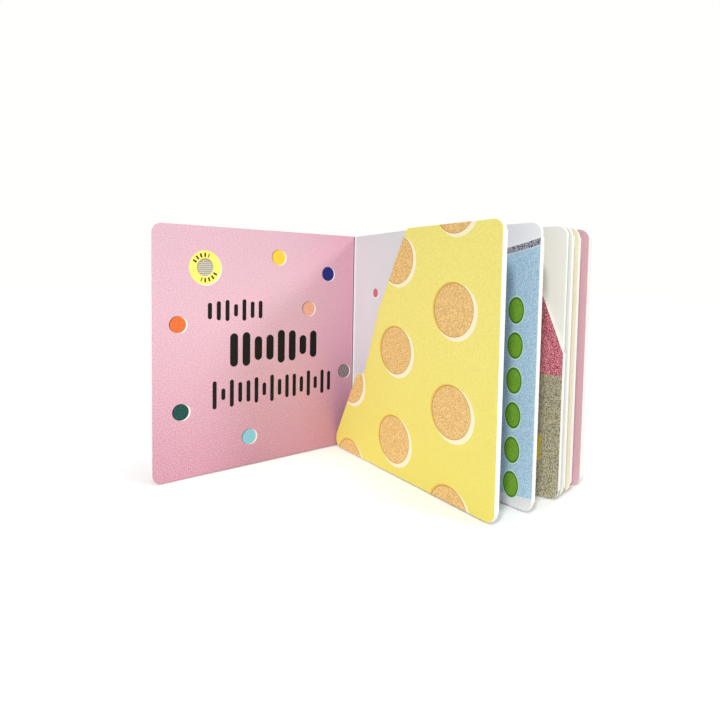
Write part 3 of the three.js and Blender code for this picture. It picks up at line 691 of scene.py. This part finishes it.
def leafPattern(finish, flat, specks, colour):
    m = leafMark
    pale = finish.within(finish.reach(flat, *m["palePlace"]), m["paleRadius"])
    disc = finish.within(finish.reach(flat, *m["place"]), m["radius"])
    colour = finish.over(colour, m["pale"], pale)
    return finish.over(colour, finish.over(m["light"], m["dark"], specks), disc)


coverInks = {"light": (0.95, 0.76, 0.82), "dark": (0.88, 0.65, 0.73), "rubbed": (0.97, 0.90, 0.91)}
# Depths of the page's and the board's two faces, and the radius of the button's hole
frontCover = {"page": (0, 1.01), "board": (3.18, 1.02), "hole": 5.7}


# Front cover: the inside page with the button's hole, and the board behind it
def makeFrontCover():
    whole = boardOutline(book["coverStart"], book["coverWidth"])
    hole = arc((button["along"], button["height"]), frontCover["hole"], 360, 0, 65)[:-1]
    page = printed("front_page_print", frontBoard, frontPrint, frontPattern)
    edge = cutEdge("front_cut_edge", frontBoard)
    outside = printed("front_outside_print", frontBoard, coverInks)
    makePiece("front_page", [shell(frontBoard, [whole, hole], rim(*frontCover["page"], 0.22, behind=0.06))],
              [page, edge, edge], "front_cover", ["front_cover_page"])
    makePiece("front_board", [shell(frontBoard, [whole], rim(*frontCover["board"], 0.25, behind=0.06))],
              [outside, edge, edge], "front_cover", ["front_cover_board"])


button = {
    "along": 132.4, "height": 142.0, "radius": 5.4, "recess": 0.25, "rounding": 0.2,
    "ribs": 8, "ribDepth": 0.2, "ribMargin": 0.35, "ribFade": 0.3, "ringStep": 0.15,
    "flange": 7.0, "flangeTop": 1.2, "back": 1.6, "backCentre": 0.3,
    "light": (0.84, 0.81, 0.76), "dark": (0.60, 0.57, 0.52),
}


# The button's cap: its face is a disc whose depth follows a cosine across the ribs, and a flange holds it
def makeButton():
    b = button
    wave = 2 * math.pi * b["ribs"] / (2 * b["radius"])

    def ribs(along, height, level):
        fromAxis = np.hypot(along - b["along"], height - b["height"])
        inside = np.clip((b["radius"] - b["ribMargin"] - fromAxis) / b["ribFade"], 0, 1)
        onFace = level < b["recess"] + 0.02
        return onFace * inside * b["ribDepth"] * (0.5 + 0.5 * np.cos((height - b["height"]) * wave)) ** 1.5

    # Rings across the face, the rounded rim, and the flange round to the middle of the back
    flat = b["radius"] - b["rounding"]
    radii = np.append(np.arange(b["ringStep"], flat, b["ringStep"]), flat)
    turn = np.linspace(0.3, math.pi / 2, 4)
    profile = np.concatenate([
        np.stack([radii, np.full(len(radii), b["recess"])], 1),
        np.stack([flat + b["rounding"] * np.sin(turn), b["recess"] + b["rounding"] * (1 - np.cos(turn))], 1),
        [(b["radius"], b["flangeTop"]), (b["flange"], b["flangeTop"])],
        [(b["flange"], b["back"]), (b["backCentre"], b["back"])],
    ])
    section = np.stack([b["flange"] - profile[:, 0], profile[:, 1]], 1)
    circle = arc((b["along"], b["height"]), b["flange"], 0, 360, 97)[:-1]
    edge = {"section": section, "bands": [0] * (len(section) - 1), "wear": np.zeros(len(section))}
    finish = Finish("button_plastic")
    place = finish.boardPlace(frontBoard)
    heightWire = finish.node("SeparateXYZ", {}, {0: place}, "Z")
    # Painted shade: the cap is darker along the grooves between its ribs, in step with their depth; a little
    # real dust is added
    grooveShade = 0.5 + 0.5 * finish.maths("COSINE", (heightWire - b["height"]) * wave)
    dust = finish.noise(place, 1.6, 3.0, 0.6)
    material = finish.surface({
        "Base Color": finish.over(b["light"], b["dark"], grooveShade * 0.8 + dust * 0.1),
        "Roughness": 0.42 + dust * 0.2,
        "Normal": finish.bump(finish.noise(place, 5.0, 2.0), 0.01, 0.4),
    })
    cap = shell(frontBoard, [circle], edge, shape=ribs)
    makePiece("button", [cap], [material], "button", ["button_cap"])


leafPrints = [
    {"light": (0.885, 0.895, 0.905), "dark": (0.86, 0.865, 0.875)},
    {"light": (0.985, 0.98, 0.985), "dark": (0.97, 0.965, 0.975)},
    {"light": (0.98, 0.98, 0.95), "dark": (0.96, 0.96, 0.925)},
    {"light": (0.95, 0.96, 0.95), "dark": (0.92, 0.93, 0.92)},
    {"light": (0.97, 0.955, 0.89), "dark": (0.94, 0.92, 0.85)},
]
# A leaf's back is printed in a tone of the page that it faces, darkened as painted shade for the gaps between
# the leaves
shadedLeafBacks = [
    {"light": (0.60, 0.67, 0.72), "dark": (0.46, 0.53, 0.58)},
    {"light": (0.68, 0.65, 0.56), "dark": (0.50, 0.47, 0.39)},
    {"light": (0.62, 0.67, 0.62), "dark": (0.48, 0.53, 0.49)},
    {"light": (0.84, 0.79, 0.64), "dark": (0.74, 0.69, 0.54)},
    {"light": (0.87, 0.66, 0.71), "dark": (0.79, 0.57, 0.63)},
]


# The root's outline in the spine's plan; its ends stand back a little from the leaves' ends
root = {"outline": [(0.05, -0.05), (-1.5, -5.9), (15.55, -5.9), (15.5, -0.05)], "back": 0.06}


# The five leaves and the root that joins them, as one piece
def makePages():
    shells, finishes = [], []
    for index, board in enumerate(leafBoards):
        finishes += [
            printed(f"leaf_{index + 1}_front", board, leafPrints[index], leafPattern if index == 0 else None),
            # The back's print is the facing page's tone, partly darkened as painted shade
            printed(f"leaf_{index + 1}_back", board, shadedLeafBacks[index]),
            cutEdge(f"leaf_{index + 1}_edge", board),
        ]
        outline = boardOutline(book["leafStart"], book["leafWidth"])
        leaf = shell(board, [outline], rim(0, book["leafThickness"], 0.3))
        leaf["bands"] = [band + 3 * index for band in leaf["bands"]]
        shells.append(leaf)
    ends = rim(root["back"], book["height"] - root["back"], 0.2, 0.4)
    block = shell(spine, [closed(*root["outline"])], ends, upright=True)
    block["bands"] = [2] * len(block["bands"])
    shells.append(block)
    makePiece("page_block_leaves", shells, finishes, "pages", ["page_block"])


# A flap's top is where the straight part of its fold ends
fullTop = book["height"] - book["corner"]
flaps = [
    {"node": "flap_slanted", "outline": slantedOutline, "top": fullTop, "slot": "slanted_flap_print",
     "print": spotPrint, "pattern": spotPattern},
    {"node": "flap_tank", "outline": tankOutline, "top": tank["rim"], "slot": "tank_flap_print",
     "print": tankPrint, "pattern": tankPattern},
    {"node": "flap_house", "outline": houseOutline, "top": house["eave"], "slot": "house_flap_print",
     "print": housePrint, "pattern": housePattern},
    {"node": "flap_plain_1", "outline": plainOutline, "top": fullTop, "slot": "plain_flap_print",
     "print": {"light": (0.97, 0.975, 0.94), "dark": (0.94, 0.945, 0.91)}, "pattern": None},
    {"node": "flap_plain_2", "outline": plainOutline, "top": fullTop, "slot": "plain_flap_print",
     "print": {"light": (0.98, 0.96, 0.86), "dark": (0.955, 0.93, 0.82)}, "pattern": None},
]
flapCard = {"thickness": 1.0, "strip": 0.34, "stripFront": 1.28,
            "light": (0.95, 0.94, 0.93), "dark": (0.91, 0.90, 0.90)}


# A flap: its die-cut panel, and the white strip that folds over the leaf's fore-edge
def makeFlaps():
    for index, flap in enumerate(flaps):
        leaf, fold = leafBoards[index], foldBoards[index]
        front = printed(flap["node"] + "_front", fold, flap["print"], flap["pattern"])
        back = printed(flap["node"] + "_back", fold, flapCard)
        edge = cutEdge(flap["node"] + "_edge", fold)
        panel = shell(fold, [flap["outline"]()], rim(-flapCard["thickness"], 0, 0.4, 0.8))
        left, right = book["foldReach"] - flapCard["strip"], book["foldReach"]
        strip = rectangleOutline(left, -flapCard["stripFront"], right, book["leafThickness"], 0.16)
        over = shell(leaf, [strip], rim(book["corner"], flap["top"], 0.15, 0.16), upright=True)
        over["bands"] = [2] * len(over["bands"])
        finishes = [front, back, edge]
        makePiece(flap["node"] + "_card", [panel, over], finishes, "pages", [flap["node"]])


backCover = {
    "page": (0.0, 1.49),
    "light": (0.90, 0.745, 0.77),
    "dark": (0.83, 0.655, 0.69),
    "panel": (9.3, 7.51),
    "window": (96.6, 107.8, 112.2, 152.3),
    "speaker": (79.3, 126.0),
    "grilleRings": 3,
    "grillePitch": 3.2,
    "grilleRadius": 0.8,
}


# Back cover: inside page, and the outer panel with the speaker's holes and the door's window
def makeBackCover():
    whole = boardOutline(book["coverStart"], book["coverWidth"])
    page = printed("back_page_print", backBoard, backCover)
    outside = printed("back_outside_print", backBoard, coverInks)
    edge = cutEdge("back_cut_edge", backBoard)
    makePiece("back_page", [shell(backBoard, [whole], rim(*backCover["page"], 0.25, behind=0.02))],
              [page, edge, edge], "back_cover", ["back_cover_page"])
    holes = [rectangleOutline(*backCover["window"], 0.8)[::-1]]
    middle = np.array(backCover["speaker"])
    for ring in range(backCover["grilleRings"]):
        count = max(1, 6 * ring)
        for turn in range(count):
            angle = turn / count * 2 * math.pi
            centre = middle + ring * backCover["grillePitch"] * np.array([math.cos(angle), math.sin(angle)])
            holes.append(arc(centre, backCover["grilleRadius"], 360, 0, 17)[:-1])
    makePiece("back_panel", [shell(backBoard, [whole] + holes, rim(*backCover["panel"], 0.15, 0.3, 0.02))],
              [outside, edge, edge], "back_cover", ["back_cover_panel"])


door = {
    "left": 96.9, "bottom": 108.1, "right": 111.9, "top": 152.0, "corner": 0.8,
    "outside": 7.5, "inside": 6.86, "screw": (104.4, 110.65), "hole": 1.25,
    "ribs": 5, "firstRib": 141.5, "ribPitch": 1.7, "ribEnd": 3.0, "ribHalf": 0.45, "ribHeight": 0.35,
}


# The battery door: a lid with a hole for its screw, and grip ribs at its free end
def makeDoor(plastic):
    d = door
    lid = rectangleOutline(d["left"], d["bottom"], d["right"], d["top"], d["corner"])
    hole = arc(d["screw"], d["hole"], 360, 0, 33)[:-1]
    shells = [shell(backBoard, [lid, hole], rim(d["outside"], d["inside"], 0.18, 0.4))]
    left, right = d["left"] + d["ribEnd"], d["right"] - d["ribEnd"]
    ribEdge = rim(d["outside"] + d["ribHeight"], d["outside"] - 0.1, 0.2, 0.3)
    for rib in range(d["ribs"]):
        height = d["firstRib"] + rib * d["ribPitch"]
        bar = rectangleOutline(left, height - d["ribHalf"], right, height + d["ribHalf"], 0.4)
        shells.append(shell(backBoard, [bar], ribEdge))
    makePiece("door", shells, [plastic] * 3, "back_cover", ["battery_door"])


# A material for a CAD node that keeps its shape
def plainStuff(name, light, dark, roughness, scale, bump=0.01, metal=0.0):
    finish = Finish(name)
    place = finish.objectPlace()
    cloud = finish.noise(place, scale, 3.0, 0.6)
    return finish.surface({
        "Base Color": finish.over(light, dark, cloud),
        "Roughness": roughness + (cloud - 0.5) * 0.2,
        "Metallic": metal,
        "Normal": finish.bump(finish.noise(place, scale * 4, 2.0), bump, 0.5),
    })


# Each stuff: the nodes made of it, two colours, roughness, grain's scale, and where needed bump and metal
stuffs = {
    "greyboard": (["spine_strip"], (0.84, 0.82, 0.78), (0.68, 0.66, 0.62), 0.85, 2.0, 0.03),
    "white_plastic": (["module_housing"], (0.95, 0.95, 0.93), (0.90, 0.90, 0.88), 0.45, 0.4),
    "steel": (["switch_dome", "battery_door_screw", "contact_minus", "contact_link", "door_contact_link",
               "door_contact_plus", "battery_cell_1", "battery_cell_2", "battery_cell_3"],
              (0.80, 0.81, 0.82), (0.66, 0.67, 0.69), 0.3, 1.5, 0.004, 1.0),
    "film": (["switch_film", "spine_lead", "module_lead"], (0.87, 0.80, 0.62), (0.80, 0.70, 0.50), 0.4, 0.6),
    "circuit_laminate": (["circuit_board"], (0.20, 0.52, 0.30), (0.12, 0.38, 0.20), 0.4, 0.8),
    "black_resin": (["sound_chip"], (0.12, 0.12, 0.13), (0.06, 0.06, 0.07), 0.3, 1.0),
    "speaker_steel": (["speaker_frame"], (0.26, 0.26, 0.28), (0.18, 0.18, 0.20), 0.4, 1.2, 0.005, 0.8),
    "magnet_metal": (["speaker_magnet"], (0.58, 0.58, 0.60), (0.44, 0.45, 0.47), 0.35, 1.2, 0.005, 1.0),
    "cone_film": (["speaker_cone"], (0.86, 0.88, 0.90), (0.76, 0.79, 0.82), 0.3, 0.6),
    "red_wire": (["speaker_wire_upper"], (0.76, 0.20, 0.17), (0.62, 0.13, 0.12), 0.45, 1.0),
    "black_wire": (["speaker_wire_lower"], (0.12, 0.12, 0.13), (0.05, 0.05, 0.06), 0.45, 1.0),
}


# The inner parts keep their CAD shapes and get materials; only the door is made again
def dressNodes():
    dressed = {"back_cover_core": cutEdge("back_core_edge", backBoard)}
    for name, (nodes, *values) in stuffs.items():
        dressed.update(dict.fromkeys(nodes, plainStuff(name, *values)))
    makeDoor(dressed["module_housing"])
    for name, material in dressed.items():
        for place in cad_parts[name].material_slots:
            place.link = "OBJECT"
            place.material = material


# A thin paper: its middle line in plan is given a thickness and stands up from floor to top.
# It also says how far along the sheet each point is. Its cut rim is printed as its faces are.
def paper(board, path, thickness):
    ahead = np.gradient(path, axis=0)
    ahead /= np.linalg.norm(ahead, axis=1, keepdims=True)
    side = np.stack([-ahead[:, 1], ahead[:, 0]], 1) * thickness / 2
    outline = np.concatenate([path + side, (path - side)[::-1]])
    edge = rim(0.15, book["height"] - 0.15, 0.02, 0.03)
    edge["bands"] = [0] * len(edge["bands"])
    made = shell(board, [outline], edge, upright=True)
    made["wear"] = made["wear"] * 0
    run = np.append(0, np.cumsum(np.linalg.norm(np.diff(path, axis=0), axis=1)))
    across = np.tile(np.concatenate([run, run[::-1]]), len(edge["section"]))
    return made, across


# The sheet runs on the page from its start to the bend and on the leaf from the bend to its end.
# Each band is how far from the hinge it starts, its ink and its edge's softness.
gutter = {
    "start": 3.0,
    "bend": 0.45,
    "end": 1.0,
    "lift": 0.06,
    "thickness": 0.09,
    "bands": [
        # The first band's dark ink is a painted shadow in the crease
        (2.3, (0.50, 0.26, 0.34), 0.15),
        (1.4, (0.99, 0.985, 0.98), 0.08),
        (0.35, leafPrints[0]["light"], 0.08),
    ],
}


# The first leaf's paper turns onto the front page: a painted crease shadow, a white strip, then the leaf's
# own tone
def makeGutter():
    # In plan from the hinge: along the front page, round the corner, and along the first leaf
    front, leaf, g = frontBoard, leafBoards[0], gutter
    onPage = front.plan(np.linspace(g["start"], g["bend"], 12), np.full(12, -g["lift"])) - front.base
    onLeaf = leaf.plan(np.linspace(g["bend"], g["end"], 5), np.full(5, -g["lift"])) - front.base
    corner = front.plan(0.05, -0.1) - front.base
    bend = bezier([onPage[-1], corner, onLeaf[0]], 9)[1:-1]
    made, across = paper(Board(front.base, 0), np.concatenate([onPage, bend, onLeaf]), g["thickness"])
    finish = Finish("gutter_paper")
    place = finish.boardPlace(front)
    specks = finish.specks(place, frontPrint["speck"])
    along = g["start"] - finish.node("Attribute", {"attribute_name": "across"}, {}, "Fac")
    colour = finish.over(frontPrint["light"], frontPrint["dark"], specks)
    for limit, tint, softness in g["bands"]:
        colour = finish.over(colour, tint, finish.within(along, limit, softness))
    material = finish.surface({"Base Color": colour, "Roughness": 0.55 + specks * 0.05,
                               "Normal": finish.bump(finish.noise(place, 2.4), 0.01, 0.4)})
    base = Vector((*front.base / 1000, 0.085))
    deep = Vector((*leaf.away, 0))
    makePiece("gutter_paper", [made], [material], "pages", across=across, blend={
        "bodies": ("front_cover", "pages"),
        "start": base - deep * 0.0012,
        "end": base - deep * 0.0001,
    })


# Along a board: the sheets' ends, their seam, and where they stand before a cover's inner edge.
# Depths: the sheet's middle over the spine strip, the front board and the back panel.
wraps = {"thickness": 0.1, "reach": 6.0, "seam": 9.7, "clear": 0.38,
         "strip": 1.87, "front": 3.24, "back": 9.35}


# The covers' outer paper: one sheet is bent over each hinge, and the two meet on the spine strip.
# The points of its bends are places along and deep, in mm, on the board that is named with them.
def makeWraps():
    w = wraps
    back = 5 * book["leafPitch"]

    def on(board, *places):
        return np.array([board.plan(along, depth) for along, depth in places])

    def level(board, depth, start, end, steps=6):
        return on(board, *[(along, depth) for along in np.linspace(start, end, steps)])

    frontPath = np.concatenate([
        level(frontBoard, w["front"], w["reach"], 0.9),
        bezier(on(frontBoard, (0.8, w["front"]), (w["clear"], w["front"]), (w["clear"], 2.8)), 5),
        bezier(np.concatenate([
            on(frontBoard, (w["clear"], 2.7), (w["clear"], 1.5)),
            on(spine, (1.7, 0.9), (2.9, w["strip"]), (4.2, w["strip"])),
        ]), 11),
        level(spine, w["strip"], 4.6, w["seam"]),
    ])
    backPath = np.concatenate([
        level(spine, w["strip"], w["seam"], back - 0.8),
        bezier(np.concatenate([
            on(spine, (back - 0.7, w["strip"]), (back - 0.1, w["strip"])),
            on(backBoard, (w["clear"], 0.2), (w["clear"], 1.2), (w["clear"], 2.6)),
        ]), 11),
        on(backBoard, (w["clear"], 4.8), (w["clear"], 7.0), (w["clear"], 8.8)),
        bezier(on(backBoard, (w["clear"], 8.95), (w["clear"], w["back"]), (0.8, w["back"])), 5),
        level(backBoard, w["back"], 1.0, w["reach"]),
    ])
    material = printed("outer_wrap_print", frontBoard, coverInks)
    middle = book["height"] / 2
    for name, path, bodies, ends in (
        ("front_outer_wrap", frontPath, ("front_cover", "pages"), (-0.2, 3.8)),
        ("back_outer_wrap", backPath, ("pages", "back_cover"), (back - 0.4, back + 1.7)),
    ):
        made, _ = paper(Board((0, 0), 0), path, w["thickness"])
        start, end = (Vector((*on(spine, (along, 0))[0], middle)) / 1000 for along in ends)
        makePiece(name, [made], [material], "pages",
                  blend={"bodies": bodies, "start": start, "end": end})


# The sky is white to the camera and dimmer as a light. All three lights are suns.
studio = {
    "eye": (-0.0314, -0.3745, 0.1368),
    "lens": 26.822,
    "shift": (0.0477, -0.0744),
    "pitch": 3.155,
    "roll": 0.784,
    "sky": 0.20,
    "skyColour": (1, 1, 0.99, 1),
    "suns": {
        "window_sun": {"towards": (0.90, -0.44, 0.50), "strength": 0.85, "angle": 13},
        "reader_sun": {"towards": (-0.345, -0.708, 0.616), "strength": 1.8, "angle": 8},
        "ceiling_sun": {"towards": (0.05, -0.05, 1.0), "strength": 1.7, "angle": 40},
    },
}


def makeStudio():
    data = bpy.data.cameras.new("camera")
    data.lens = studio["lens"]
    data.sensor_width = 36
    data.shift_x, data.shift_y = studio["shift"]
    data.clip_start = 0.01
    camera = bpy.data.objects.new("camera", data)
    pitch, roll = math.radians(studio["pitch"]), math.radians(studio["roll"])
    level = Vector((0, math.sin(pitch), math.cos(pitch)))
    right = Vector((math.cos(roll), 0, 0)) + level * math.sin(roll)
    up = Vector((-math.sin(roll), 0, 0)) + level * math.cos(roll)
    facing = Matrix((right, up, right.cross(up))).transposed()
    camera.matrix_world = Matrix.Translation(studio["eye"]) @ facing.to_4x4()
    bpy.context.scene.collection.objects.link(camera)
    bpy.context.scene.camera = camera
    for name, sun in studio["suns"].items():
        light = bpy.data.lights.new(name, "SUN")
        light.energy = sun["strength"]
        light.angle = math.radians(sun["angle"])
        lamp = bpy.data.objects.new(name, light)
        lamp.rotation_euler = Vector(sun["towards"]).to_track_quat("Z", "Y").to_euler()
        bpy.context.scene.collection.objects.link(lamp)
    sky = Finish("studio_sky", "worlds")
    seen = sky.node("LightPath", {}, {}, "Is Camera Ray")
    strength = studio["sky"] + seen * (1 - studio["sky"])
    glow = sky.node("Background", {}, {"Color": studio["skyColour"], "Strength": strength})
    sky.node("OutputWorld", {}, {"Surface": glow})
    bpy.context.scene.world = sky.material
    bpy.context.scene.view_settings.view_transform = "Standard"


# In metres. The floor lies a little below the book, so that a dark line shows under it.
ground = {"level": -0.0006, "rings": (0.2, 0.6, 1.5, 4.0), "spokes": 64,
          "light": (0.978, 0.98, 0.976), "dark": (0.969, 0.971, 0.967)}


# The floor is a round grid: each ring's radius times the cosine and the sine of each spoke's angle
def makeFloor():
    spokes = np.linspace(0, 2 * math.pi, ground["spokes"] + 1)[:-1]
    grid = np.stack([
        np.outer(ground["rings"], np.cos(spokes)),
        np.outer(ground["rings"], np.sin(spokes)),
        np.full((len(ground["rings"]), len(spokes)), ground["level"]),
    ], -1)
    index = np.arange(grid[..., 0].size).reshape(grid.shape[:2])
    beside = np.roll(index, -1, 1)
    quads = np.stack([index[:-1], index[1:], beside[1:], beside[:-1]], -1).reshape(-1, 4).tolist()
    mesh = bpy.data.meshes.new("floor")
    mesh.from_pydata(grid.reshape(-1, 3).tolist(), [], quads + [index[0].tolist()])
    finish = Finish("floor_white")
    white = finish.over(ground["light"], ground["dark"], finish.noise(finish.objectPlace(), 0.01))
    mesh.materials.append(finish.surface({"Base Color": white, "Roughness": 0.9}))
    floor = bpy.data.objects.new("floor", mesh)
    bpy.context.scene.collection.objects.link(floor)


makeStudio()
makeFloor()
print("studio: camera, three suns, floor")
makeFrontCover()
makeButton()
print("front cover: page, board, button")
makePages()
makeFlaps()
print("pages: five leaves, five flaps")
makeBackCover()
makeGutter()
makeWraps()
dressNodes()
print("back cover, papers over the hinges, inner parts")
